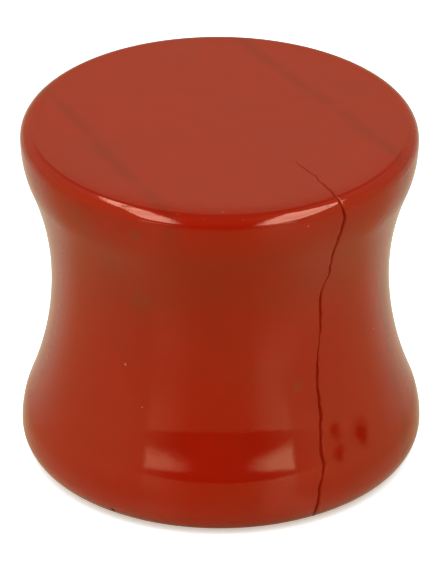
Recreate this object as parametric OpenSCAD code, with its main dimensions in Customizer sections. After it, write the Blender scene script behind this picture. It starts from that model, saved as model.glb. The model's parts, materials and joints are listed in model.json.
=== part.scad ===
// Double-flared ear plug of polished red stone, one solid turned about Z.
// It stands on its lower face: the origin is the centre of that face and +Z is up.
// A thin waist, where the earlobe sits, opens into a flare at each end. The upper
// flare ends in a crisp rim and the lower one in a soft, well-rounded edge.

/* [Plug] */
// Gauge of the plug, the diameter of the waist at its narrowest
waist_d = 12; // [8:0.5:16]
// Overall length from the lower face to the upper face
plug_length = 12.85; // [11.8:0.05:15]
// Height of the narrowest line of the waist above the lower face
waist_height = 6.85; // [6:0.05:7.6]

/* [Upper flare] */
// How far the upper flare stands out beyond the waist, all round
upper_lip = 1.05; // [0.7:0.05:1.5]
// Depth of the upper flare's widest line below the upper face
upper_widest_depth = 0.5; // [0.45:0.05:1.2]
// Radius of the upper flare's swell, seen in section
upper_swell_r = 4.2; // [2.5:0.1:5]
// Rounding of the rim round the upper face
upper_edge_r = 0.45; // [0.2:0.05:0.5]

/* [Lower flare] */
// How far the lower flare stands out beyond the waist, all round
lower_lip = 1.1; // [0.7:0.05:1.5]
// Height of the lower flare's widest line above the lower face
lower_widest_depth = 1.1; // [1.05:0.05:1.6]
// Radius of the lower flare's swell, seen in section
lower_swell_r = 3.5; // [2.5:0.1:5]
// Rounding of the edge round the lower face
lower_edge_r = 1.05; // [0.5:0.05:1.1]

/* [Hidden] */
$fn = 180;
// Degrees of turn between two points of an arc in the section
arc_step = 3;
// Degrees of turn between two points of a rounded edge, whose radius is small
edge_step = 9;
waist_r = waist_d / 2;

// Points along an arc about a centre, from just after one angle up to another.
function arc(centre, arc_r, from, to, step) =
    let (steps = max(1, ceil(abs(to - from) / step)))
    [
        for (i = [1:steps])
            let (angle = from + (to - from) * i / steps)
                centre + arc_r * [cos(angle), sin(angle)]
    ];

// Section of one end of the plug, from just above the narrowest line of the waist,
// at height 0, to the rim of the flat face, at height reach. Three arcs follow each
// other, each tangent to the next: the hollow of the waist, which starts upright,
// the swell of the flare, whose widest line stands lip outside the waist, and the
// rounded edge.
function flare_section(reach, lip, widest_depth, swell_r, edge_r) =
    let (
        rise = reach - widest_depth,
        hollow_r = (lip + rise * rise / lip) / 2 - swell_r,
        hollow_turn = asin(rise / (hollow_r + swell_r)),
        edge_turn = asin((widest_depth - edge_r) / (swell_r - edge_r)),
        hollow_centre = [waist_r + hollow_r, 0],
        swell_centre = [waist_r + lip - swell_r, rise],
        edge_centre = swell_centre + (swell_r - edge_r) * [cos(edge_turn), sin(edge_turn)]
    )
    concat(
        arc(hollow_centre, hollow_r, 180, 180 - hollow_turn, arc_step),
        arc(swell_centre, swell_r, -hollow_turn, edge_turn, arc_step),
        arc(edge_centre, edge_r, edge_turn, 90, edge_step)
    );

// Section of the whole plug, from the middle of the lower face to the middle of the
// upper one. The lower end is a flare section turned over and read backwards.
function plug_section() =
    let (
        upper = flare_section(
            plug_length - waist_height, upper_lip, upper_widest_depth, upper_swell_r, upper_edge_r
        ),
        lower = flare_section(
            waist_height, lower_lip, lower_widest_depth, lower_swell_r, lower_edge_r
        )
    )
    concat(
        [[0, -waist_height]],
        [for (i = [len(lower) - 1:-1:0]) [lower[i].x, -lower[i].y]],
        [[waist_r, 0]],
        upper,
        [[0, plug_length - waist_height]]
    );

module stone_plug() {
    color("#9a2d16")
        rotate_extrude()
            translate([0, waist_height])
                polygon(plug_section());
}

stone_plug();
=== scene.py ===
"""Double-flared ear plug of polished red jasper, standing on its lower face.

One class builds the turned stone with its open crack, one finish gives the jasper its
colours and polish, and one class each sets the light tent, the table and the camera. Sizes
are in millimetres and are turned into metres where a mesh, a light or a pattern is made.
Bearings are in degrees: on the stone 0 is +X and -90 faces the viewer of the front view.
"""

import json
import logging
import math
from dataclasses import dataclass, field
from enum import Enum

import bpy
import numpy as np
from bpy.types import Material, Node, NodeSocket, NodeTree, Object
from mathutils import Matrix, Vector


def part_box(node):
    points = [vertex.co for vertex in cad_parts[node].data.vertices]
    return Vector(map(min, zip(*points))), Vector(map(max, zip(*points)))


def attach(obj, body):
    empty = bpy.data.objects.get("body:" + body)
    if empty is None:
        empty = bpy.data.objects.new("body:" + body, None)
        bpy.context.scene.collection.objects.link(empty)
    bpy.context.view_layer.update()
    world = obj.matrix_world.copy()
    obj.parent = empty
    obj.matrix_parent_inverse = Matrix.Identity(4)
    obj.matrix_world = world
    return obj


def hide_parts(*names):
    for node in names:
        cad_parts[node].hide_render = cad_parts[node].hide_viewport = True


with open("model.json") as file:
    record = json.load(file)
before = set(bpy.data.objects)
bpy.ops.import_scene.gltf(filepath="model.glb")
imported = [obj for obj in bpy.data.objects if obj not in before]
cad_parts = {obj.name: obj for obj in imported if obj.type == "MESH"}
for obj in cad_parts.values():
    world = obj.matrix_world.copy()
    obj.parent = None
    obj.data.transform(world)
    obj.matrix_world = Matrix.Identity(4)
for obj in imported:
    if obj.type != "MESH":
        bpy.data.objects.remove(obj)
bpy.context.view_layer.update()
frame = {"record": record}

MM = 0.001
NODE = "stone_plug"
PHOTO_HEIGHT = 568
VIEWER_BEARING = -90.0

log = logging.getLogger("ear_plug")


def linear(hex_colour: str) -> tuple[float, float, float]:
    """Turn an sRGB hex colour into linear light.

    Each channel c above 0.04045 becomes ((c + 0.055) / 1.055) to the power 2.4, and a
    darker one c / 12.92.

    Args:
        hex_colour: the colour as "#rrggbb".

    Returns:
        Red, green and blue from 0 to 1.
    """
    channels = [int(hex_colour[i : i + 2], 16) / 255 for i in (1, 3, 5)]
    return tuple(c / 12.92 if c <= 0.04045 else ((c + 0.055) / 1.055) ** 2.4 for c in channels)


def smoothstep(low: float, high: float, value: np.ndarray) -> np.ndarray:
    """Rise smoothly from 0 at low to 1 at high, as 3 t^2 - 2 t^3 of the share t of the way.

    Args:
        low: where the rise starts.
        high: where it ends.
        value: the values to look up.

    Returns:
        An array of the same shape, from 0 to 1.
    """
    share = np.clip((value - low) / (high - low), 0.0, 1.0)
    return share * share * (3.0 - 2.0 * share)


def add_node(tree: NodeTree, kind: str, inputs: dict | None = None, **settings: object) -> Node:
    """Add a node with its settings, and set or link its inputs.

    Args:
        tree: the node tree that the node joins.
        kind: the node's type, such as ShaderNodeMath.
        inputs: a value or an output socket for each input, by the input's name or number.
        **settings: the node's own properties.

    Returns:
        The new node.
    """
    node = tree.nodes.new(kind)
    for name, value in settings.items():
        setattr(node, name, value)
    for key, value in (inputs or {}).items():
        if isinstance(value, NodeSocket):
            tree.links.new(value, node.inputs[key])
        else:
            node.inputs[key].default_value = value
    return node


def ramp(
    tree: NodeTree,
    value: NodeSocket,
    low: float | NodeSocket,
    high: float | NodeSocket,
    before: float = 0.0,
    after: float = 1.0,
) -> NodeSocket:
    """Turn smoothly from one number to another while a value goes from low to high.

    Args:
        tree: the node tree.
        value: the value that is followed.
        low: where the turn starts.
        high: where it ends.
        before: the result up to low.
        after: the result from high on.

    Returns:
        The socket with the result.
    """
    return add_node(
        tree,
        "ShaderNodeMapRange",
        {"Value": value, "From Min": low, "From Max": high, "To Min": before, "To Max": after},
        interpolation_type="SMOOTHSTEP",
    ).outputs["Result"]


def blend(
    tree: NodeTree,
    share: NodeSocket,
    under: NodeSocket | str,
    over: NodeSocket | str,
) -> NodeSocket:
    """Lay one colour over another by a share from 0 to 1.

    Args:
        tree: the node tree.
        share: how much of the upper colour shows.
        under: the lower colour, as a socket or an sRGB hex colour.
        over: the upper colour, as a socket or an sRGB hex colour.

    Returns:
        The socket with the blended colour.
    """
    sides = [(*linear(side), 1.0) if isinstance(side, str) else side for side in (under, over)]
    return add_node(
        tree, "ShaderNodeMix", {"Factor": share, 6: sides[0], 7: sides[1]}, data_type="RGBA"
    ).outputs[2]


def distance_from(tree: NodeTree, value: NodeSocket, middle: float) -> NodeSocket:
    """How far a value lies from a middle one: |value - middle|."""
    off = add_node(tree, "ShaderNodeMath", {0: value, 1: middle}, operation="SUBTRACT").outputs[0]
    return add_node(tree, "ShaderNodeMath", {0: off}, operation="ABSOLUTE").outputs[0]


@dataclass(frozen=True)
class PlugSizes:
    """Sizes of the turned stone. The gauge and the length come from the frame."""

    waist_r: float
    waist_height: float
    length: float
    widest_r: float
    upper_lip: float = 1.05
    upper_widest_depth: float = 0.5
    upper_swell_r: float = 4.2
    upper_edge_r: float = 0.45
    upper_roll: float = 0.95
    upper_roll_slope: float = 0.045
    lower_widest_depth: float = 1.1
    lower_swell_r: float = 3.5
    front_swell_r: float = 4.2
    lower_edge_r: float = 1.05

    @classmethod
    def from_frame(cls) -> "PlugSizes":
        """Read the waist from the record's mount and the rest from the solid's box.

        Returns:
            The sizes in millimetres.
        """
        low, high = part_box(NODE)
        waist = next(m for m in frame["record"]["mounts"] if m["name"] == "waist")
        return cls(
            waist_r=waist["dims"]["r_mm"],
            waist_height=waist["pos_m"][2] / MM,
            length=(high.z - low.z) / MM,
            widest_r=(high.x - low.x) / 2 / MM,
        )

    @property
    def lower_lip(self) -> float:
        """How far the lower flare, the wider one, stands out beyond the waist."""
        return self.widest_r - self.waist_r

    @property
    def upper_widest_r(self) -> float:
        """Radius of the upper flare at its widest."""
        return self.waist_r + self.upper_lip


@dataclass(frozen=True)
class Meridian:
    """The stone's section as rows from the top centre to the bottom centre, in millimetres.

    Each row has its radius, height, outward normal and distance along the section, how
    much fuller the stone is there at the very front, and how much lower it lies there.
    """

    radius: np.ndarray
    height: np.ndarray
    outward: np.ndarray
    along: np.ndarray
    fuller: np.ndarray
    sag: np.ndarray

    @staticmethod
    def arc(centre: np.ndarray, radius: float, start: float, stop: float, count: int) -> np.ndarray:
        """Points on a circle: centre + radius (cos a, sin a), for a from start to stop in radians."""
        angle = np.linspace(start, stop, count)
        return centre + radius * np.stack([np.cos(angle), np.sin(angle)], axis=1)

    @classmethod
    def flare(
        cls,
        waist_r: float,
        reach: float,
        lip: float,
        widest_depth: float,
        swell_r: float,
        edge_r: float,
        dense: int = 400,
    ) -> np.ndarray:
        """Section of one end, from the waist line at height 0 to the middle of its flat face.

        Three arcs follow each other, each tangent to the next: the hollow of the waist,
        which starts upright, the swell of the flare and the rounded edge. The hollow's
        radius is (lip + rise^2 / lip) / 2 less the swell's, which makes them meet tangent.

        Args:
            waist_r: radius of the waist.
            reach: height of the flat face above the waist line.
            lip: how far the widest line stands outside the waist.
            widest_depth: depth of the widest line below the flat face.
            swell_r: radius of the swell.
            edge_r: radius of the rounded edge.
            dense: points on each arc.

        Returns:
            Rows of (radius, height), densely spaced.
        """
        rise = reach - widest_depth
        hollow_r = (lip + rise * rise / lip) / 2 - swell_r
        hollow_turn = math.asin(rise / (hollow_r + swell_r))
        edge_turn = math.asin((widest_depth - edge_r) / (swell_r - edge_r))
        swell_centre = np.array([waist_r + lip - swell_r, rise])
        to_edge = (swell_r - edge_r) * np.array([math.cos(edge_turn), math.sin(edge_turn)])
        edge_centre = swell_centre + to_edge
        hollow_centre = np.array([waist_r + hollow_r, 0.0])
        flat = np.linspace(edge_centre[0], 0.0, dense)
        return np.concatenate(
            [
                cls.arc(hollow_centre, hollow_r, math.pi, math.pi - hollow_turn, dense),
                cls.arc(swell_centre, swell_r, -hollow_turn, edge_turn, dense)[1:],
                cls.arc(edge_centre, edge_r, edge_turn, math.pi / 2, dense)[1:],
                np.stack([flat, np.full(dense, reach)], axis=1)[1:],
            ]
        )

    @classmethod
    def section(cls, sizes: PlugSizes, lower_swell_r: float) -> np.ndarray:
        """Join the two flares.

        Args:
            sizes: the stone's sizes.
            lower_swell_r: radius of the lower flare's swell.

        Returns:
            Rows of (radius, height) from the top centre to the bottom centre.
        """
        upper = cls.flare(
            sizes.waist_r,
            sizes.length - sizes.waist_height,
            sizes.upper_lip,
            sizes.upper_widest_depth,
            sizes.upper_swell_r,
            sizes.upper_edge_r,
        )
        lower = cls.flare(
            sizes.waist_r,
            sizes.waist_height,
            sizes.lower_lip,
            sizes.lower_widest_depth,
            lower_swell_r,
            sizes.lower_edge_r,
        )
        return np.concatenate([upper[::-1], lower[1:] * [1, -1]]) + [0.0, sizes.waist_height]

    @classmethod
    def of(
        cls,
        sizes: PlugSizes,
        step: float,
        edge_step: float,
        sharp_turn: float = 0.35,
        even_over: int = 101,
    ) -> "Meridian":
        """Space the rows along the section by arc length, closer on the two rounded edges.

        The spacing at each point is edge_step where the section turns fast and step where
        it is nearly straight; rows stand where the running sum of 1 / spacing passes each
        whole number.

        Args:
            sizes: the stone's sizes.
            step: spacing of the rows on the faces and the side.
            edge_step: spacing of the rows on the rounded edges.
            sharp_turn: the turn per millimetre, in radians, that counts as an edge.
            even_over: how many dense points the turn is averaged over.

        Returns:
            The rows, without the two poles.
        """
        section = cls.section(sizes, sizes.lower_swell_r)
        hop = np.diff(section, axis=0)
        length = np.hypot(hop[:, 0], hop[:, 1])
        heading = np.unwrap(np.arctan2(hop[:, 1], hop[:, 0]))
        turn = np.abs(np.diff(heading))
        bend = np.convolve(np.append(turn, turn[-1]) / length, np.ones(even_over) / even_over, "same")
        density = 1.0 / (step + (edge_step - step) * smoothstep(0.0, sharp_turn, bend))
        count_so_far = np.concatenate([[0.0], np.cumsum(density * length)])
        rows = np.linspace(0.0, count_so_far[-1], int(round(count_so_far[-1])) + 1)[1:-1]
        along = np.concatenate([[0.0], np.cumsum(length)])
        radius = np.interp(rows, count_so_far, section[:, 0])
        height = np.interp(rows, count_so_far, section[:, 1])
        facing = np.interp(rows, (count_so_far[1:] + count_so_far[:-1]) / 2, heading)
        return cls(
            radius,
            height,
            np.stack([-np.sin(facing), np.cos(facing)], axis=1),
            np.interp(rows, count_so_far, along),
            cls.fullness(sizes, radius, height),
            cls.roll_off(sizes, radius, height),
        )

    @classmethod
    def fullness(cls, sizes: PlugSizes, radius: np.ndarray, height: np.ndarray) -> np.ndarray:
        """How much farther out the lower flare stands with the rounder swell of the front.

        Args:
            sizes: the stone's sizes.
            radius: radius of each row.
            height: height of each row.

        Returns:
            The radius at the same height on the fuller section less the row's own; 0
            above the waist and on the lower face.
        """
        section = cls.section(sizes, sizes.front_swell_r)
        flare = section[section[:, 1] < sizes.waist_height][::-1]
        on_flare = (height > 0.0) & (height < sizes.waist_height)
        return np.where(on_flare, np.interp(height, flare[:, 1], flare[:, 0]) - radius, 0.0)

    @staticmethod
    def roll_off(
        sizes: PlugSizes, radius: np.ndarray, height: np.ndarray, dense: int = 2001
    ) -> np.ndarray:
        """How much lower the upper face's worn front border lies.

        The slope grows evenly from 0 over upper_roll to upper_roll_slope where the rounded
        edge starts, and goes back to 0 at the widest line. The drop is the running sum of
        the slope outwards, and fades out from there down to the waist.

        Args:
            sizes: the stone's sizes.
            radius: radius of each row.
            height: height of each row.
            dense: points that the slope is summed over.

        Returns:
            The drop of each row.
        """
        edge = sizes.upper_widest_r - sizes.upper_edge_r
        out = np.linspace(0.0, sizes.upper_widest_r, dense)
        marks = [edge - sizes.upper_roll, edge, sizes.upper_widest_r]
        slope = np.interp(out, marks, [0.0, sizes.upper_roll_slope, 0.0])
        drop = np.concatenate([[0.0], np.cumsum((slope[1:] + slope[:-1]) / 2 * np.diff(out))])
        farthest = np.maximum.accumulate(radius)
        return np.interp(farthest, out, drop) * smoothstep(sizes.waist_height, sizes.length, height)


@dataclass(frozen=True)
class CrackPlace:
    """One place that the crack passes: its bearing in degrees and its opening in millimetres.

    On the upper face a place is given by its radius, and on the side by its height.
    """

    at: float
    bearing: float
    opening: float


@dataclass(frozen=True)
class Crack:
    """The fine open crack, from the upper face over the rim and down the whole side.

    A separate program traced its places from the front view onto the stone.
    """

    on_face: tuple[CrackPlace, ...] = (
        CrackPlace(3.6, -44.8, 0.00),
        CrackPlace(3.9, -45.6, 0.03),
        CrackPlace(4.1, -46.6, 0.05),
        CrackPlace(4.7, -47.8, 0.06),
        CrackPlace(5.1, -48.6, 0.06),
        CrackPlace(5.4, -50.0, 0.08),
        CrackPlace(6.2, -51.4, 0.09),
        CrackPlace(6.5, -52.2, 0.12),
    )
    on_side: tuple[CrackPlace, ...] = (
        CrackPlace(12.6, -52.6, 0.15),
        CrackPlace(12.3, -51.7, 0.17),
        CrackPlace(12.1, -51.5, 0.21),
        CrackPlace(11.4, -53.2, 0.16),
        CrackPlace(10.8, -53.9, 0.15),
        CrackPlace(10.1, -53.4, 0.12),
        CrackPlace(9.6, -53.0, 0.10),
        CrackPlace(9.2, -54.4, 0.07),
        CrackPlace(8.9, -55.0, 0.12),
        CrackPlace(8.6, -55.2, 0.13),
        CrackPlace(7.8, -54.4, 0.15),
        CrackPlace(7.3, -54.3, 0.12),
        CrackPlace(6.8, -54.6, 0.07),
        CrackPlace(6.4, -55.1, 0.10),
        CrackPlace(5.7, -55.8, 0.16),
        CrackPlace(4.7, -56.4, 0.15),
        CrackPlace(4.2, -56.2, 0.16),
        CrackPlace(3.1, -57.9, 0.18),
        CrackPlace(2.7, -58.6, 0.17),
        CrackPlace(2.3, -58.3, 0.18),
        CrackPlace(1.9, -59.4, 0.09),
        CrackPlace(1.7, -60.2, 0.16),
        CrackPlace(0.9, -61.5, 0.20),
        CrackPlace(0.4, -61.4, 0.15),
        CrackPlace(0.1, -61.8, 0.08),
        CrackPlace(0.02, -61.8, 0.0),
    )
    depth_per_opening: float = 0.6
    least_opening: float = 0.004
    jag: float = 0.016
    jag_step: float = 0.17
    width_change: tuple[float, float] = (0.8, 1.15)
    flat_within: float = 1e-6
    least_jag_r: float = 1.0
    seed: int = 11

    def follow(self, meridian: Meridian) -> tuple[np.ndarray, np.ndarray]:
        """Find the crack's bearing and opening on every row of the section.

        The places are put in order of their distance along the section and joined by
        straight stretches. Small jags are added to the bearing where the crack is open:
        seeded random steps at every jag_step along the section, also joined by straight
        stretches. The width changes in the same way.

        Args:
            meridian: the rows of the section.

        Returns:
            The bearing in degrees and the opening in millimetres, a number for each row.
        """
        last_top = np.flatnonzero(meridian.height > meridian.height.max() - self.flat_within)[-1]
        face_radius, face_along = meridian.radius[: last_top + 1], meridian.along[: last_top + 1]
        side_height, side_along = meridian.height[last_top:][::-1], meridian.along[last_top:][::-1]
        places = self.on_face + self.on_side
        along = np.concatenate(
            [
                np.interp([p.at for p in self.on_face], face_radius, face_along),
                np.interp([p.at for p in self.on_side], side_height, side_along),
            ]
        )
        bearing = np.interp(meridian.along, along, [p.bearing for p in places])
        opening = np.interp(meridian.along, along, [p.opening for p in places], left=0.0, right=0.0)
        random = np.random.default_rng(self.seed)
        knots = np.arange(0.0, meridian.along[-1] + self.jag_step, self.jag_step)
        jags = np.interp(meridian.along, knots, random.normal(0.0, self.jag, len(knots)))
        widths = np.interp(meridian.along, knots, random.uniform(*self.width_change, len(knots)))
        jags_deg = np.degrees(jags / np.maximum(meridian.radius, self.least_jag_r))
        return bearing + np.where(opening > 0.0, jags_deg, 0.0), opening * widths


@dataclass
class StonePlug:
    """The turned stone: a grid of rows along its section and columns round its axis."""

    sizes: PlugSizes
    crack: Crack = field(default_factory=Crack)
    row_step: float = 0.085
    edge_row_step: float = 0.045
    fine_column: float = 0.018
    wide_column: float = 0.26
    fine_reach: float = 0.24
    column_grade: float = 2.6
    straight_reach_deg: float = 3.0
    follow_reach_deg: float = 80.0
    upper_face_tip_deg: float = 0.565
    fuller_within_deg: tuple[float, float] = (32.0, 78.0)
    rolled_within_deg: tuple[float, float] = (50.0, 110.0)
    polish_wave: float = 0.0015
    polish_from_edge: float = 1.5
    name: str = "stone_plug_dressed"

    def columns(self, home: float, dense: int = 40001) -> np.ndarray:
        """Space the columns round the axis, close together where the crack runs.

        The spacing grows from fine_column beside the crack to wide_column away from it;
        columns stand where the running sum of 1 / spacing passes each whole number.

        Args:
            home: the crack's mean bearing in degrees.
            dense: bearings that the spacing is summed over.

        Returns:
            The bearings in degrees, from home - 180 upwards.
        """
        bearing = np.linspace(home - 180.0, home + 180.0, dense)
        off = np.abs(np.radians(bearing - home)) * self.sizes.widest_r
        spacing = self.fine_column + (self.wide_column - self.fine_column) * smoothstep(
            self.fine_reach, self.fine_reach + self.column_grade, off
        )
        per_degree = math.radians(1.0) * self.sizes.widest_r / spacing
        mean_density = (per_degree[1:] + per_degree[:-1]) / 2
        share = np.concatenate([[0.0], np.cumsum(mean_density * np.diff(bearing))])
        count = int(round(share[-1]))
        return np.interp(np.arange(count) * share[-1] / count, share, bearing)

    def tip(self, points: np.ndarray) -> np.ndarray:
        """Tip the upper face out of square by lowering its right side.

        A point at x and height z goes down by tan(tip) (x + upper radius) w, where w rises
        smoothly from 0 at the waist to 1 at the upper face.

        Args:
            points: places on the stone, changed in the array itself.

        Returns:
            The same array.
        """
        share = smoothstep(self.sizes.waist_height, self.sizes.length, points[..., 2])
        slope = math.tan(math.radians(self.upper_face_tip_deg))
        points[..., 2] -= slope * np.maximum(points[..., 0] + self.sizes.upper_widest_r, 0.0) * share
        return points

    @staticmethod
    def towards_viewer(bearing: np.ndarray, full: float, gone: float) -> np.ndarray:
        """A share that is 1 within full degrees of the viewer's side and 0 beyond gone degrees."""
        off = np.abs((bearing - VIEWER_BEARING + 180.0) % 360.0 - 180.0)
        return 1.0 - smoothstep(full, gone, off)

    def build(self) -> Object:
        """Work out the grid and make the piece.

        A row at bearing t stands at (r cos t, r sin t, z). The columns lean to follow the
        crack: t = u + w(u) (crack(row) - home), with w(u) falling from 1 at the crack to 0
        at follow_reach_deg. Towards the viewer r grows by the row's fullness and z drops by
        its roll-off. The crack is a groove: points within half its opening go in along the
        inward normal, deepest at the middle.

        Returns:
            The new object. Its points carry "crack", 1 in the groove and 0 outside, and
            "along", the distance along the section in millimetres.
        """
        meridian = Meridian.of(self.sizes, self.row_step, self.edge_row_step)
        crack_bearing, opening = self.crack.follow(meridian)
        home = float(np.mean(crack_bearing))
        base = self.columns(home)
        lean = 1.0 - smoothstep(self.straight_reach_deg, self.follow_reach_deg, np.abs(base - home))
        bearing = base[None, :] + lean[None, :] * (crack_bearing[:, None] - home)
        angle = np.radians(bearing)
        across = np.radians(bearing - crack_bearing[:, None]) * meridian.radius[:, None]
        half = np.maximum(opening[:, None] / 2, self.crack.least_opening / 2)
        inside = 1.0 - smoothstep(0.0, 1.0, np.abs(across) / half)
        inside = inside * (opening[:, None] >= self.crack.least_opening)
        edge = self.sizes.waist_r - self.polish_from_edge
        on_side = smoothstep(edge, self.sizes.waist_r, meridian.radius)
        wave = self.polish_wave * (1.0 + self.ripple(angle, meridian.along[:, None]))
        sink = inside * opening[:, None] * self.crack.depth_per_opening + wave * on_side[:, None]
        fuller = meridian.fuller[:, None] * self.towards_viewer(bearing, *self.fuller_within_deg)
        sag = meridian.sag[:, None] * self.towards_viewer(bearing, *self.rolled_within_deg)
        radius = meridian.radius[:, None] + fuller - meridian.outward[:, :1] * sink
        height = meridian.height[:, None] - sag - meridian.outward[:, 1:] * sink
        points = self.tip(np.stack([radius * np.cos(angle), radius * np.sin(angle), height], axis=-1))
        poles = self.tip(np.array([[0.0, 0.0, self.sizes.length], [0.0, 0.0, 0.0]]))
        piece = self.closed_mesh(points * MM, poles * MM)
        rows = np.broadcast_to(meridian.along[:, None], inside.shape)
        self.mark_points(piece, "crack", inside, 0.0, 0.0)
        self.mark_points(piece, "along", rows, 0.0, float(meridian.along[-1]))
        log.info("stone: %d rows by %d columns", len(meridian.radius), len(base))
        return piece

    @staticmethod
    def mark_points(piece: Object, name: str, grid: np.ndarray, top: float, bottom: float) -> None:
        """Write one number per point: the grid's, and those of the two poles."""
        values = np.concatenate([grid.ravel(), [top, bottom]]).astype(np.float32)
        piece.data.attributes.new(name, "FLOAT", "POINT").data.foreach_set("value", values)

    @staticmethod
    def ripple(angle: np.ndarray, along: np.ndarray) -> np.ndarray:
        """Faint waves that polishing by hand leaves: a sum of sines of bearing and distance.

        Each wave is share * sin(turns * angle + climb * along + start).

        Args:
            angle: the bearings in radians.
            along: the distances along the section in millimetres.

        Returns:
            The sum, between -1 and 1.
        """
        waves = ((0.40, 7.0, 1.1, 0.0), (0.35, 11.0, -1.9, 0.7), (0.25, 3.0, 2.7, 2.1))
        return sum(
            share * np.sin(turns * angle + climb * along + start) for share, turns, climb, start in waves
        )

    def closed_mesh(self, points: np.ndarray, poles: np.ndarray) -> Object:
        """Put the grid into a mesh, closed round the axis and by a fan at each pole.

        Args:
            points: rows by columns by 3, from the top row to the bottom row.
            poles: the top and the bottom centre.

        Returns:
            The new object, shaded smooth.
        """
        rows, columns = points.shape[:2]
        index = np.arange(rows * columns).reshape(rows, columns)
        right = np.roll(index, -1, axis=1)
        quads = np.stack([index[:-1], index[1:], right[1:], right[:-1]], axis=-1).reshape(-1, 4)
        top, bottom = rows * columns, rows * columns + 1
        top_fan = np.stack([np.full(columns, top), index[0], right[0]], axis=-1)
        bottom_fan = np.stack([np.full(columns, bottom), right[-1], index[-1]], axis=-1)
        corners = np.concatenate([quads.ravel(), top_fan.ravel(), bottom_fan.ravel()])
        sizes = np.concatenate([np.full(len(quads), 4), np.full(2 * columns, 3)])
        starts = np.concatenate([[0], np.cumsum(sizes)[:-1]])
        places = np.concatenate([points.reshape(-1, 3), poles])
        mesh = bpy.data.meshes.new(self.name)
        mesh.vertices.add(len(places))
        mesh.vertices.foreach_set("co", places.astype(np.float32).ravel())
        mesh.loops.add(len(corners))
        mesh.loops.foreach_set("vertex_index", corners.astype(np.int32))
        mesh.polygons.add(len(sizes))
        mesh.polygons.foreach_set("loop_start", starts.astype(np.int32))
        mesh.update(calc_edges=True)
        mesh.shade_smooth()
        piece = bpy.data.objects.new(self.name, mesh)
        bpy.context.scene.collection.objects.link(piece)
        return piece


class Mark(Enum):
    """What a mark in the stone is, each with its sRGB colour.

    A dull patch is a shallow place that the polishing missed, and a pit is a tiny hole,
    not cut into the mesh, whose dark colour is painted shade in the hole.
    """

    DULL_PATCH = "#921d04"
    CLOUD = "#7a3a1e"
    SPECK = "#c8826a"
    # painted shade: the dark colour of a tiny hole
    PIT = "#4a1c10"

    @property
    def dull(self) -> bool:
        """Whether the mark has no polish."""
        return self in (Mark.DULL_PATCH, Mark.PIT)


@dataclass(frozen=True)
class Spot:
    """One mark in the stone: what it is, its centre and radius in millimetres, its strength.

    It is round, or an upright oval tall times as high as it is wide. A separate program
    traced the centres from the front view onto the stone.
    """

    mark: Mark
    x: float
    y: float
    z: float
    radius: float
    strength: float
    tall: float = 1.0


@dataclass(frozen=True)
class Vein:
    """A seam through the stone: a plane with a soft core, that ends below a height.

    The plane's normal lies level at the bearing, in degrees. It stands offset millimetres
    from the axis, and the core fades out over half_width to each side.
    """

    bearing: float
    offset: float
    half_width: float
    strength: float
    lowest: float

    @property
    def normal(self) -> tuple[float, float, float]:
        """The plane's unit normal."""
        turn = math.radians(self.bearing)
        return (math.cos(turn), math.sin(turn), 0.0)


@dataclass(frozen=True)
class GroundLayer:
    """One layer of the stone's red: noise lumps of a size that let a second colour through.

    The share goes from 0 where the noise is at low to strength where it is at high.
    """

    size: float
    low: float
    high: float
    strength: float
    colour: str


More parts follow.
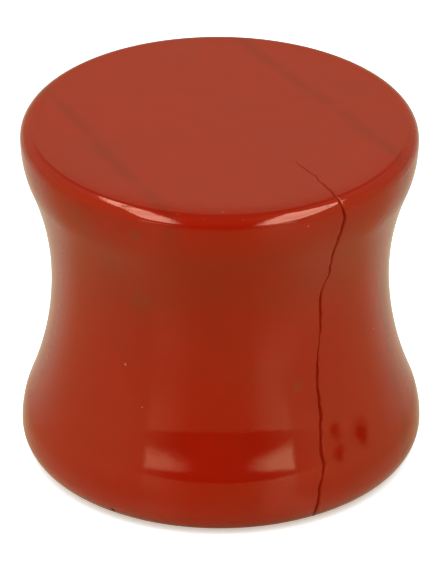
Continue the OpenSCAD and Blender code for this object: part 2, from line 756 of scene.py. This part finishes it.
@dataclass(frozen=True)
class PolishedRedJasper:
    """Red jasper, tumbled and polished: opaque brick red and glassy, so it mirrors its room.

    Darker seams and clouds lie in the red, and broken places and pits stay dull.
    """

    red: str = "#a01804"
    seam: str = "#6a1a08"
    # painted shade: the crack's walls are coloured darker for the shade in the groove, on top of the shade
    # the groove's own shape gives
    crack_wall: str = "#90240a"
    layers: tuple[GroundLayer, ...] = (
        GroundLayer(4.5, 0.42, 0.75, 0.40, "#8c240c"),
        GroundLayer(0.9, 0.40, 0.75, 0.30, "#921505"),
        GroundLayer(0.16, 0.45, 0.80, 0.45, "#8c240c"),
    )
    refraction: float = 1.54
    roughness: float = 0.06
    dull_roughness: float = 0.7
    rough_from: float = 0.5
    gloss: float = 0.5
    noise_roughness: float = 0.55
    grain_size: float = 0.45
    grain_height: float = 0.003
    grain_detail: float = 2.0
    streak_width: float = 0.13
    streak_length: float = 2.0
    streak_height: float = 0.001
    streak_detail: float = 1.0
    rim_middle: float = 7.0
    rim_reach: tuple[float, float] = (0.4, 1.2)
    rim_r: float = 7.0
    stray: float = 0.7
    stray_size: float = 2.2
    break_size: float = 1.1
    break_from: float = 0.2
    break_to: float = 0.55
    # painted shade below the rim, where the upper flare overhangs: its colour, middle height, reach and
    # strength
    shade: str = "#8c240c"
    shade_height: float = 10.2
    shade_reach: tuple[float, float] = (0.6, 2.2)
    shade_strength: float = 0.35
    streak_dulls: float = 0.25
    streak_from: float = 0.5
    streak_to: float = 0.62
    ragged_size: float = 0.4
    core_reach: float = 0.6
    edge_reach: float = 1.5
    vein_end: float = 1.0
    spots: tuple[Spot, ...] = (
        Spot(Mark.DULL_PATCH, 4.03, -5.17, 3.32, 0.40, 0.8, 1.9),
        Spot(Mark.DULL_PATCH, 4.96, -4.53, 2.83, 0.56, 0.95, 1.7),
        Spot(Mark.DULL_PATCH, 4.16, -5.45, 2.50, 0.40, 0.9, 1.6),
        Spot(Mark.CLOUD, 2.69, -5.48, 5.26, 0.30, 0.4),
        Spot(Mark.CLOUD, -2.98, -6.36, 11.83, 0.35, 0.5),
        Spot(Mark.CLOUD, -4.88, -5.03, 11.71, 0.9, 0.3),
        Spot(Mark.CLOUD, -3.84, -5.33, 10.28, 0.9, 0.3),
        Spot(Mark.CLOUD, -2.80, -5.50, 8.77, 0.8, 0.3),
        Spot(Mark.SPECK, -3.36, -5.02, 5.93, 0.07, 0.9),
        Spot(Mark.SPECK, -2.77, -5.58, 4.51, 0.05, 0.8),
        Spot(Mark.SPECK, -2.88, -6.01, 2.89, 0.05, 0.6),
        Spot(Mark.SPECK, -1.48, -6.53, 12.78, 0.05, 0.7),
        Spot(Mark.SPECK, -0.57, -6.80, 12.73, 0.05, 0.7),
        Spot(Mark.SPECK, 0.09, -6.40, 12.78, 0.05, 0.7),
        Spot(Mark.SPECK, 0.79, -6.82, 12.69, 0.05, 0.7),
        Spot(Mark.SPECK, 3.08, -6.34, 12.14, 0.05, 0.6),
        Spot(Mark.SPECK, 5.40, -2.67, 6.02, 0.05, 0.6),
        # pits, dark as painted shade in tiny holes
        Spot(Mark.PIT, -3.84, -5.73, 0.44, 0.13, 1.0, 1.5),
        Spot(Mark.PIT, -3.17, -6.08, 12.69, 0.07, 0.4, 2.0),
        Spot(Mark.PIT, 3.76, -5.76, 12.61, 0.06, 0.5, 1.5),
        Spot(Mark.PIT, 2.65, -6.45, 12.52, 0.06, 0.4, 1.5),
    )
    veins: tuple[Vein, ...] = (
        Vein(32.6, 4.10, 0.45, 0.28, 0.0),
        Vein(25.2, -4.47, 0.45, 0.26, 12.0),
    )

    def material(self) -> Material:
        """Build the stone's material on Object coordinates and the piece's own attributes.

        Returns:
            The material.
        """
        material = bpy.data.materials.new("polished_red_jasper")
        material.use_nodes = True
        tree = material.node_tree
        tree.nodes.clear()
        place = add_node(tree, "ShaderNodeTexCoord").outputs["Object"]
        crack = add_node(tree, "ShaderNodeAttribute", attribute_name="crack").outputs["Fac"]
        # the stone's red, with painted shade below the rim, then the seams
        colour = self.seams(tree, place, self.shaded(tree, place, self.ground(tree, place)))
        colour, missed = self.marks(tree, place, colour)
        # painted shade: the groove's walls take the darker crack_wall colour
        colour = blend(tree, crack, colour, self.crack_wall)
        streaks, on_rim = self.rim_streaks(tree, place)
        groove = ramp(tree, streaks, self.streak_from, self.streak_to, 0.0, self.streak_dulls)
        worn = add_node(tree, "ShaderNodeMath", {0: groove, 1: on_rim}, operation="MULTIPLY").outputs[0]
        open_stone = add_node(tree, "ShaderNodeMath", {0: crack, 1: missed}, operation="MAXIMUM").outputs[0]
        dull = add_node(tree, "ShaderNodeMath", {0: worn, 1: open_stone}, operation="MAXIMUM").outputs[0]
        rough = ramp(tree, open_stone, self.rough_from, 1.0, self.roughness, self.dull_roughness)
        shader = add_node(
            tree,
            "ShaderNodeBsdfPrincipled",
            {
                "Base Color": colour,
                "Roughness": rough,
                "Specular IOR Level": ramp(tree, dull, 0.0, 1.0, self.gloss, 0.0),
                "IOR": self.refraction,
                "Normal": self.relief(tree, place, streaks, on_rim),
            },
        )
        add_node(tree, "ShaderNodeOutputMaterial", {"Surface": shader.outputs["BSDF"]})
        return material

    def noise(self, tree: NodeTree, place: NodeSocket, size: float, detail: float = 3.0) -> NodeSocket:
        """Noise whose lumps are about size millimetres across."""
        scale = 1.0 / (size * MM)
        return add_node(
            tree,
            "ShaderNodeTexNoise",
            {"Vector": place, "Scale": scale, "Detail": detail, "Roughness": self.noise_roughness},
        ).outputs["Fac"]

    def ground(self, tree: NodeTree, place: NodeSocket) -> NodeSocket:
        """Mix the stone's own red: broad brown clouds, deep-red lumps and a fine grain.

        Args:
            tree: the node tree.
            place: the Object coordinates.

        Returns:
            The colour.
        """
        colour = self.red
        for layer in self.layers:
            share = add_node(
                tree,
                "ShaderNodeMapRange",
                {
                    "Value": self.noise(tree, place, layer.size),
                    "From Min": layer.low,
                    "From Max": layer.high,
                    "To Max": layer.strength,
                },
            ).outputs["Result"]
            colour = blend(tree, share, colour, layer.colour)
        return colour

    def shaded(self, tree: NodeTree, place: NodeSocket, colour: NodeSocket) -> NodeSocket:
        """Lay on painted shade, a browner zone below the rim, by the height's distance from shade_height.

        Args:
            tree: the node tree.
            place: the Object coordinates.
            colour: the colour below it.

        Returns:
            The colour with the painted shade.
        """
        height = add_node(tree, "ShaderNodeSeparateXYZ", {0: place}).outputs["Z"]
        far = distance_from(tree, height, self.shade_height * MM)
        share = ramp(tree, far, *(MM * reach for reach in self.shade_reach), self.shade_strength, 0.0)
        return blend(tree, share, colour, self.shade)

    def seams(self, tree: NodeTree, place: NodeSocket, colour: NodeSocket) -> NodeSocket:
        """Darker seams: the share is full on a vein's plane and falls to 0 at its half width.

        Broad noise bends the plane by up to half of stray to each side, finer noise breaks
        the seam up, and it fades out over vein_end below its lowest height.

        Args:
            tree: the node tree.
            place: the Object coordinates.
            colour: the colour below the seams.

        Returns:
            The colour with the seams.
        """
        bend = self.noise(tree, place, self.stray_size)
        patches = ramp(tree, self.noise(tree, place, self.break_size), self.break_from, self.break_to)
        height = add_node(tree, "ShaderNodeSeparateXYZ", {0: place}).outputs["Z"]
        for vein in self.veins:
            across = add_node(
                tree, "ShaderNodeVectorMath", {0: place, 1: vein.normal}, operation="DOT_PRODUCT"
            ).outputs["Value"]
            bent = add_node(
                tree, "ShaderNodeMath", {0: bend, 1: self.stray * MM, 2: across}, operation="MULTIPLY_ADD"
            ).outputs[0]
            far = distance_from(tree, bent, (vein.offset + self.stray / 2) * MM)
            core = ramp(tree, far, 0.0, vein.half_width * MM, vein.strength, 0.0)
            end = ramp(tree, height, (vein.lowest - self.vein_end) * MM, vein.lowest * MM)
            broken = add_node(tree, "ShaderNodeMath", {0: core, 1: patches}, operation="MULTIPLY").outputs[0]
            share = add_node(tree, "ShaderNodeMath", {0: broken, 1: end}, operation="MULTIPLY").outputs[0]
            colour = blend(tree, share, colour, self.seam)
        return colour

    def marks(self, tree: NodeTree, place: NodeSocket, colour: NodeSocket) -> tuple[NodeSocket, NodeSocket]:
        """Marks with ragged edges, each by its distance from its own centre.

        The height difference counts 1 / tall times, which stretches the mark upwards.

        Args:
            tree: the node tree.
            place: the Object coordinates.
            colour: the colour below the marks.

        Returns:
            The colour with the marks, and the share that has no polish.
        """
        ragged = self.noise(tree, place, self.ragged_size)
        missed = None
        for spot in self.spots:
            squeeze = (1.0, 1.0, 1.0 / spot.tall)
            centre = (-spot.x * MM, -spot.y * MM, -spot.z * MM / spot.tall)
            off = add_node(
                tree, "ShaderNodeVectorMath", {0: place, 1: squeeze, 2: centre}, operation="MULTIPLY_ADD"
            ).outputs["Vector"]
            distance = add_node(tree, "ShaderNodeVectorMath", {0: off}, operation="LENGTH").outputs["Value"]
            frayed = add_node(
                tree,
                "ShaderNodeMath",
                {0: ragged, 1: spot.radius * MM, 2: distance},
                operation="MULTIPLY_ADD",
            ).outputs[0]
            core, edge = self.core_reach * spot.radius * MM, self.edge_reach * spot.radius * MM
            share = ramp(tree, frayed, core, edge, spot.strength, 0.0)
            # each mark's colour; a pit's dark colour is painted shade
            colour = blend(tree, share, colour, spot.mark.value)
            if spot.mark.dull:
                both = {0: share, 1: 0.0 if missed is None else missed}
                missed = add_node(tree, "ShaderNodeMath", both, operation="MAXIMUM").outputs[0]
        return colour, missed

    def rim_streaks(self, tree: NodeTree, place: NodeSocket) -> tuple[NodeSocket, NodeSocket]:
        """The fine streaks that run round the rim, left by the grinding of the edge.

        They are noise over (rim_r / streak_length) times the level direction from the axis,
        with along / streak_width added upwards: long round the rim and narrow across.

        Args:
            tree: the node tree.
            place: the Object coordinates.

        Returns:
            The noise, and a share that is 1 on the rim and 0 elsewhere.
        """
        along = add_node(tree, "ShaderNodeAttribute", attribute_name="along").outputs["Fac"]
        level = add_node(
            tree, "ShaderNodeVectorMath", {0: place, 1: (1.0, 1.0, 0.0)}, operation="MULTIPLY"
        ).outputs["Vector"]
        outward = add_node(tree, "ShaderNodeVectorMath", {0: level}, operation="NORMALIZE").outputs["Vector"]
        across = add_node(
            tree, "ShaderNodeMath", {0: along, 1: 1.0 / self.streak_width}, operation="MULTIPLY"
        ).outputs[0]
        upwards = add_node(tree, "ShaderNodeCombineXYZ", {"Z": across}).outputs["Vector"]
        per_turn = (self.rim_r / self.streak_length,) * 3
        drawn_out = add_node(
            tree, "ShaderNodeVectorMath", {0: outward, 1: per_turn, 2: upwards}, operation="MULTIPLY_ADD"
        ).outputs["Vector"]
        streaks = add_node(
            tree, "ShaderNodeTexNoise", {"Vector": drawn_out, "Scale": 1.0, "Detail": self.streak_detail}
        ).outputs["Fac"]
        far = distance_from(tree, along, self.rim_middle)
        return streaks, ramp(tree, far, *self.rim_reach, 1.0, 0.0)

    def relief(
        self, tree: NodeTree, place: NodeSocket, streaks: NodeSocket, on_rim: NodeSocket
    ) -> NodeSocket:
        """Raise the faint unevenness of the polish, with the streaks of the rim on top.

        Args:
            tree: the node tree.
            place: the Object coordinates.
            streaks: the noise of the streaks.
            on_rim: the share that is 1 on the rim.

        Returns:
            The bent normal.
        """
        grain = add_node(
            tree,
            "ShaderNodeBump",
            {
                "Height": self.noise(tree, place, self.grain_size, self.grain_detail),
                "Distance": self.grain_height * MM,
                "Strength": 1.0,
            },
        ).outputs["Normal"]
        return add_node(
            tree,
            "ShaderNodeBump",
            {
                "Height": streaks,
                "Distance": self.streak_height * MM,
                "Strength": on_rim,
                "Normal": grain,
            },
        ).outputs["Normal"]


@dataclass(frozen=True)
class Softbox:
    """A bright lamp with straight edges, as a shiny thing on the table reflects it.

    Each corner is a bearing, from the camera's side and positive to the right, and an
    elevation above the table, in degrees. The softness is how many degrees each edge
    takes to fade, from the edge that starts at the first corner on. The outline has no
    hollow: a lamp that has one is made of two that share an edge.
    """

    corners: tuple[tuple[float, float], ...]
    softness: tuple[float, ...]
    tint: str = "#ffc7ac"
    strength: float = 8.0

    def edge_normals(self) -> np.ndarray:
        """Work out the planes through the eye and each edge, from corner cross products.

        Returns:
            The planes' unit normals, which point into the lamp.
        """
        turn, rise = np.radians(np.array(self.corners)).T
        level = np.cos(rise)
        towards = np.stack([level * np.sin(turn), -level * np.cos(turn), np.sin(rise)], axis=1)
        normals = np.cross(towards, np.roll(towards, -1, axis=0))
        normals /= np.linalg.norm(normals, axis=1, keepdims=True)
        return normals * np.sign(normals @ towards.mean(axis=0))[:, None]


@dataclass
class LightTent:
    """Soft even light from all round, with the lamps and walls that the polish reflects.

    The walls are pale up to wall_top and dimmer above. The tent is open along a strip that
    starts gap_from degrees up behind the plug, runs over the top and is widest at the
    camera. The first two softboxes share an edge and are one lamp.
    """

    backdrop: str = "#ffffff"
    softboxes: tuple[Softbox, ...] = (
        Softbox(((-164.0, 49.0), (-113.5, 59.0), (-88.0, 60.5), (-163.0, 55.5)), (3.0, 3.0, 1.5, 3.5)),
        Softbox(
            ((-163.0, 55.5), (-88.0, 60.5), (-47.5, 29.0), (-24.5, 27.5), (-35.5, 58.5)),
            (1.5, 3.0, 3.0, 9.0, 3.5),
        ),
        Softbox(
            (
                (119.5, 71.0),
                (108.0, 51.5),
                (79.0, 43.5),
                (46.5, 23.5),
                (34.0, 19.0),
                (22.0, 21.3),
                (35.0, 54.0),
            ),
            (3.0, 3.0, 3.0, 3.0, 3.0, 8.0, 2.5),
        ),
        Softbox(
            ((-44.5, 5.7), (-44.5, 15.0), (-23.0, 15.0), (-23.0, 9.5)),
            (4.0, 5.0, 20.0, 5.0),
            "#ffc497",
            2.2,
        ),
        Softbox(
            ((42.0, 5.0), (42.0, 13.0), (21.0, 15.0), (21.0, 9.7)), (4.0, 5.0, 20.0, 5.0), "#ffe1ae", 2.3
        ),
    )
    wall_behind: str = "#cbb38e"
    wall_beside: str = "#e1b173"
    behind_from: float = 0.1
    behind_to: float = 0.6
    wall_top: float = 32.0
    wall_fade: float = 4.0
    roof_share: float = 0.8
    gap_from: float = 34.0
    gap_fade: float = 8.4
    gap_above: tuple[float, float] = (0.0, 0.4)
    gap_in_front: tuple[float, float] = (0.35, 0.88)
    gap_turn: float = 125.0
    gap_turn_fade: float = 50.0
    gap_least: float = 0.2
    gap_empty: float = 145.0
    gap_empty_fade: float = 30.0
    sky_level: float = 0.36
    sky_from_left: float = 0.15
    sky_from_front: float = 0.52
    sky_from_above: float = 1.02
    sky_least: float = 0.1

    def build(self) -> None:
        """Make the world: white behind, a gradient for matt surfaces, lamps for shiny ones.

        Matt surfaces are lit by a level plus a part that grows to the left, to the camera
        and upwards. The polish reflects the walls and the softboxes.
        """
        world = bpy.data.worlds.new("light_tent")
        world.use_nodes = True
        world.cycles.sampling_method = "NONE"
        bpy.context.scene.world = world
        tree = world.node_tree
        tree.nodes.clear()
        direction = add_node(tree, "ShaderNodeTexCoord").outputs["Generated"]
        path = add_node(tree, "ShaderNodeLightPath").outputs
        soft = self.gradient(tree, direction)
        bright = self.lamps(tree, direction, self.walls(tree, direction))
        lit = blend(tree, path["Is Glossy Ray"], soft, bright)
        seen = blend(tree, path["Is Camera Ray"], lit, self.backdrop)
        background = add_node(tree, "ShaderNodeBackground", {"Color": seen})
        add_node(tree, "ShaderNodeOutputWorld", {"Surface": background.outputs[0]})
        log.info("light tent: %d softboxes", len(self.softboxes))

    def gradient(self, tree: NodeTree, direction: NodeSocket) -> NodeSocket:
        """Work out the soft light: level + weights . direction, never under sky_least.

        Args:
            tree: the node tree.
            direction: the direction that is looked in.

        Returns:
            The light's level.
        """
        slope = (-self.sky_from_left, -self.sky_from_front, self.sky_from_above)
        lean = add_node(
            tree, "ShaderNodeVectorMath", {0: direction, 1: slope}, operation="DOT_PRODUCT"
        ).outputs["Value"]
        level = add_node(tree, "ShaderNodeMath", {0: lean, 1: self.sky_level}, operation="ADD").outputs[0]
        return add_node(tree, "ShaderNodeMath", {0: level, 1: self.sky_least}, operation="MAXIMUM").outputs[0]

    def walls(self, tree: NodeTree, direction: NodeSocket) -> NodeSocket:
        """The pale walls, dimmer above wall_top and dark where the tent is open.

        The turn over the stone is atan2(z, y): 0 level behind, 90 straight above and 180
        level in front. From gap_from on, the share at a sideways part |x| rises from 0 to 1
        between two limits, which widen from gap_above to gap_in_front round gap_turn. Up to
        gap_empty at least gap_least stays.

        Args:
            tree: the node tree.
            direction: the direction that is looked in.

        Returns:
            The light of the walls.
        """
        parts = add_node(tree, "ShaderNodeSeparateXYZ", {0: direction}).outputs
        aside = add_node(tree, "ShaderNodeMath", {0: parts["X"]}, operation="ABSOLUTE").outputs[0]
        rise = add_node(tree, "ShaderNodeMath", {0: parts["Z"]}, operation="ARCSINE").outputs[0]
        over = add_node(
            tree, "ShaderNodeMath", {0: parts["Z"], 1: parts["Y"]}, operation="ARCTAN2"
        ).outputs[0]
        roof = self.turn_over(tree, rise, self.wall_top, self.wall_fade, 1.0, self.roof_share)
        limits = [
            self.turn_over(tree, over, self.gap_turn, self.gap_turn_fade, above, in_front)
            for above, in_front in zip(self.gap_above, self.gap_in_front)
        ]
        least = self.turn_over(tree, over, self.gap_empty, self.gap_empty_fade, self.gap_least, 0.0)
        beside = add_node(
            tree, "ShaderNodeMath", {0: ramp(tree, aside, *limits), 1: least}, operation="MAXIMUM"
        ).outputs[0]
        begun = self.turn_over(tree, over, self.gap_from, self.gap_fade, 0.0, 1.0)
        gap = add_node(tree, "ShaderNodeMix", {0: begun, 2: 1.0, 3: beside}).outputs[0]
        share = add_node(tree, "ShaderNodeMath", {0: roof, 1: gap}, operation="MULTIPLY").outputs[0]
        behind = ramp(tree, parts["Y"], self.behind_from, self.behind_to)
        wall = blend(tree, behind, self.wall_beside, self.wall_behind)
        return add_node(
            tree, "ShaderNodeVectorMath", {0: wall, "Scale": share}, operation="SCALE"
        ).outputs["Vector"]

    @staticmethod
    def turn_over(
        tree: NodeTree, angle: NodeSocket, at_deg: float, over_deg: float, before: float, after: float
    ) -> NodeSocket:
        """Turn from one value to another round an angle, smoothly over some degrees."""
        low, high = math.radians(at_deg - over_deg / 2), math.radians(at_deg + over_deg / 2)
        return ramp(tree, angle, low, high, before, after)

    def lamps(self, tree: NodeTree, direction: NodeSocket, walls: NodeSocket) -> NodeSocket:
        """Add each softbox to the walls: the product of its edges' smooth steps.

        Args:
            tree: the node tree.
            direction: the direction that is looked in.
            walls: the light of the walls.

        Returns:
            The light of the walls and the lamps.
        """
        total = walls
        for lamp in self.softboxes:
            share = None
            for normal, softness in zip(lamp.edge_normals(), lamp.softness):
                height = add_node(
                    tree, "ShaderNodeVectorMath", {0: direction, 1: tuple(normal)}, operation="DOT_PRODUCT"
                ).outputs["Value"]
                fade = math.sin(math.radians(softness / 2))
                step = ramp(tree, height, -fade, fade)
                both = {0: step, 1: 1.0 if share is None else share}
                share = add_node(tree, "ShaderNodeMath", both, operation="MULTIPLY").outputs[0]
            light = tuple(lamp.strength * c for c in linear(lamp.tint))
            shine = add_node(
                tree, "ShaderNodeVectorMath", {0: light, "Scale": share}, operation="SCALE"
            ).outputs["Vector"]
            total = add_node(tree, "ShaderNodeVectorMath", {0: total, 1: shine}, operation="ADD").outputs[0]
        return total


@dataclass
class Table:
    """A wide white table top that the plug stands on.

    It is white to the eye, and warm in the shadow under the flare, where its glow is painted
    dimmer and warmer as a painted shadow. Its white is faintly cool, which takes back some of
    the red that the stone throws on it. What the stone reflects of it is a satin top, painted
    warmer and dimmer in front of the stone than behind as painted shade, as under a tent
    whose light falls from behind, and brighter close round the foot with a painted glow.
    """

    radius: float = 3000.0
    turns: int = 128
    seen: str = "#ddf7f7"
    glow: float = 0.8
    # painted shadow: the glow's colour under the flare, and beyond it
    glow_in_painted_shadow: str = "#cdbeb3"
    glow_beside: str = "#ffffff"
    under: tuple[float, float] = (6.5, 7.05)
    # painted light: a glow on the table round the foot, seen only by reflected and bounced rays
    foot_tint: str = "#b4ffe4"
    foot_glow: float = 0.21
    foot_reach: tuple[float, float] = (7.0, 11.0)
    foot_front: tuple[float, float] = (-1.0, -0.85)
    foot_front_share: float = 0.5
    # painted shade: the table's colours as reflected, dimmer and warmer in front of the plug than behind
    reflected_near: str = "#c49959"
    reflected_middle: str = "#ddb179"
    reflected_far: str = "#e6d8b8"
    near: tuple[float, float] = (-0.95, -0.45)
    far: tuple[float, float] = (0.05, 0.55)
    satin: float = 0.28
    refraction: float = 1.35

    def build(self) -> Object:
        """Make the disc and its material.

        Returns:
            The table top.
        """
        angle = np.arange(self.turns) * 2 * math.pi / self.turns
        rim = np.stack([np.cos(angle), np.sin(angle), np.zeros(self.turns)], axis=1)
        mesh = bpy.data.meshes.new("table_top")
        mesh.from_pydata((self.radius * MM * rim).tolist(), [], [list(range(self.turns))])
        mesh.materials.append(self.material())
        top = bpy.data.objects.new("table_top", mesh)
        bpy.context.scene.collection.objects.link(top)
        return top

    def material(self) -> Material:
        """Build the laminate: white for the camera, and for other rays tinted by bearing.

        The tint follows y / r, from -1 straight in front of the plug to 1 straight behind.
        The painted warm shadow and the painted bright ring round the foot follow r.

        Returns:
            The material.
        """
        material = bpy.data.materials.new("white_satin_laminate")
        material.use_nodes = True
        tree = material.node_tree
        tree.nodes.clear()
        place = add_node(tree, "ShaderNodeTexCoord").outputs["Object"]
        reach = add_node(tree, "ShaderNodeVectorMath", {0: place}, operation="LENGTH").outputs["Value"]
        matt = add_node(tree, "ShaderNodeBsdfDiffuse", {"Color": (*linear(self.seen), 1.0)}).outputs[0]
        # painted shadow: under the flare the glow is dimmer and warmer, and beyond it turns full white
        clear = ramp(tree, reach, *(MM * limit for limit in self.under))
        glow_with_painted_shadow = blend(tree, clear, self.glow_in_painted_shadow, self.glow_beside)
        glow = add_node(tree, "ShaderNodeEmission", {"Color": glow_with_painted_shadow, "Strength": self.glow}).outputs[0]
        white = add_node(tree, "ShaderNodeAddShader", {0: matt, 1: glow}).outputs[0]
        outward = add_node(tree, "ShaderNodeVectorMath", {0: place}, operation="NORMALIZE").outputs["Vector"]
        behind = add_node(tree, "ShaderNodeSeparateXYZ", {0: outward}).outputs["Y"]
        # painted shade: for reflected and bounced rays the table is dimmer and warmer in front of the plug
        # than behind
        tint = self.reflected_near
        for limits, colour in ((self.near, self.reflected_middle), (self.far, self.reflected_far)):
            tint = blend(tree, ramp(tree, behind, *limits), tint, colour)
        satin = add_node(
            tree,
            "ShaderNodeBsdfPrincipled",
            {"Base Color": tint, "Roughness": self.satin, "IOR": self.refraction},
        ).outputs[0]
        # painted light: the table glows in a ring round the foot, weaker in front, for reflected and bounced
        # rays only
        close = ramp(tree, reach, *(MM * limit for limit in self.foot_reach), self.foot_glow, 0.0)
        front = ramp(tree, behind, *self.foot_front, self.foot_front_share, 1.0)
        strength = add_node(tree, "ShaderNodeMath", {0: close, 1: front}, operation="MULTIPLY").outputs[0]
        ring = add_node(
            tree, "ShaderNodeEmission", {"Color": (*linear(self.foot_tint), 1.0), "Strength": strength}
        ).outputs[0]
        mirrored = add_node(tree, "ShaderNodeAddShader", {0: satin, 1: ring}).outputs[0]
        camera = add_node(tree, "ShaderNodeLightPath").outputs["Is Camera Ray"]
        both = add_node(tree, "ShaderNodeMixShader", {0: camera, 1: mirrored, 2: white}).outputs[0]
        add_node(tree, "ShaderNodeOutputMaterial", {"Surface": both})
        return material


@dataclass
class PortraitCamera:
    """The camera of the front view: a long lens, looking down on the plug."""

    elevation_deg: float = 28.88
    distance: float = 424.0
    roll_deg: float = 0.315
    pixels_per_mm: float = 28.1424
    right_px: float = 0.34
    above_px: float = 1.32
    sensor: float = 36.0
    clip: tuple[float, float] = (0.01, 20.0)

    def build(self, aim: Vector) -> Object:
        """Place the camera so that the plug's middle shows where it should in the frame.

        The lens is pixels_per_mm * distance, in pixels, times the sensor's share of a
        pixel. right_px and above_px are how far the plug's middle stands from the
        picture's.

        Args:
            aim: the plug's middle, in metres.

        Returns:
            The camera.
        """
        data = bpy.data.cameras.new("portrait_camera")
        data.sensor_width = self.sensor
        data.lens = self.pixels_per_mm * self.distance * self.sensor / PHOTO_HEIGHT
        data.shift_x = -self.right_px / PHOTO_HEIGHT
        data.shift_y = -self.above_px / PHOTO_HEIGHT
        data.clip_start, data.clip_end = self.clip
        camera = bpy.data.objects.new("portrait_camera", data)
        rise = math.radians(self.elevation_deg)
        back = Vector((0.0, -math.cos(rise), math.sin(rise)))
        turn = back.to_track_quat("Z", "Y").to_matrix().to_4x4()
        roll = Matrix.Rotation(-math.radians(self.roll_deg), 4, "Z")
        camera.matrix_world = Matrix.Translation(aim + back * self.distance * MM) @ turn @ roll
        bpy.context.scene.collection.objects.link(camera)
        bpy.context.scene.camera = camera
        return camera


def main() -> None:
    """Build the plug, then the light, the table and the camera."""
    logging.basicConfig(level=logging.INFO, format="%(name)s %(message)s")
    sizes = PlugSizes.from_frame()
    log.info("waist %.2f, length %.2f, widest %.2f mm", 2 * sizes.waist_r, sizes.length, 2 * sizes.widest_r)
    plug = StonePlug(sizes).build()
    plug.data.materials.append(PolishedRedJasper().material())
    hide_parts(NODE)
    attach(plug, "root")
    LightTent().build()
    Table().build()
    PortraitCamera().build(Vector((0.0, 0.0, sizes.length / 2 * MM)))
    bpy.context.scene.view_settings.view_transform = "Standard"
    bpy.context.scene.view_settings.look = "None"


if __name__ == "__main__":
    main()
